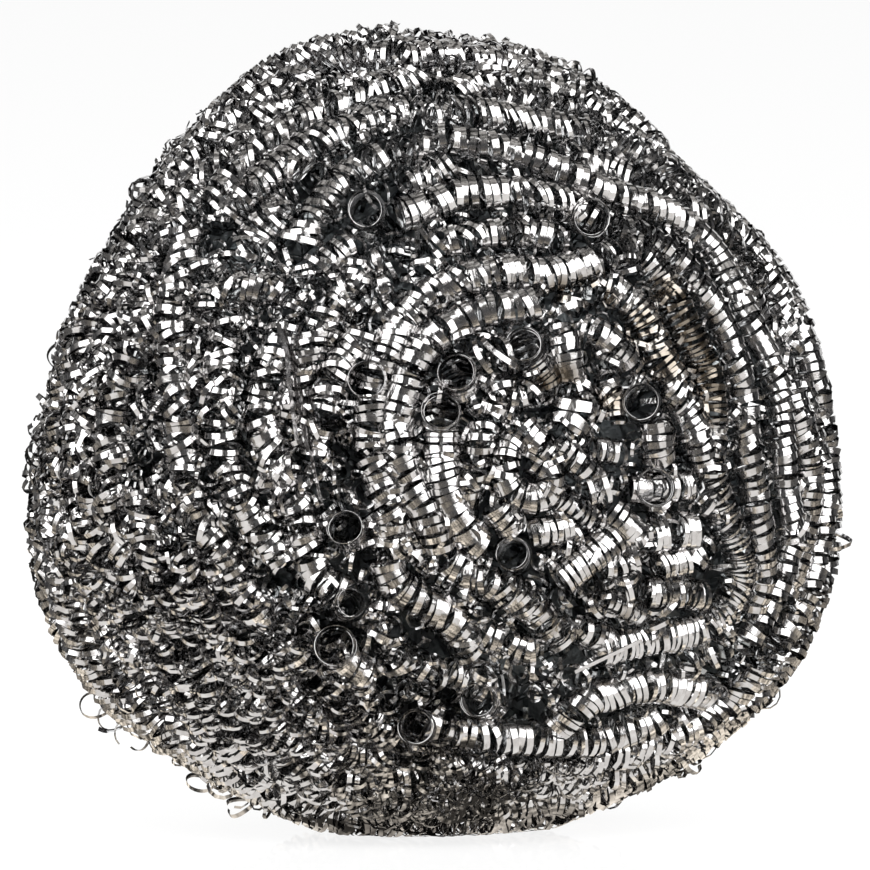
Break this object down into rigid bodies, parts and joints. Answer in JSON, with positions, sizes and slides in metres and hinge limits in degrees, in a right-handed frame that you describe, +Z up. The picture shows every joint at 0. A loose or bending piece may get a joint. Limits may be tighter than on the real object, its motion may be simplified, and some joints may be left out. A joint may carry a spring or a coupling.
{
  "type": "metal scourer",
  "caption": "Round bun of wound and folded stainless ribbon coil for scouring pots and pans, standing on its rim on a small flat spot.",
  "frame": {"origin": "on the floor, under the middle of the bun", "axes": "+Z up, the bun's face towards -Y and its axis along Y, +X to the right as the face is seen"},
  "size_m": [0.0838, 0.0682, 0.0805],
  "materials": {
    "stainless_ribbon": "bright drawn stainless ribbon"
  },
  "bodies": {
    "root": {"wound_ribbon_coil": "stainless_ribbon"}
  },
  "joints": []
}
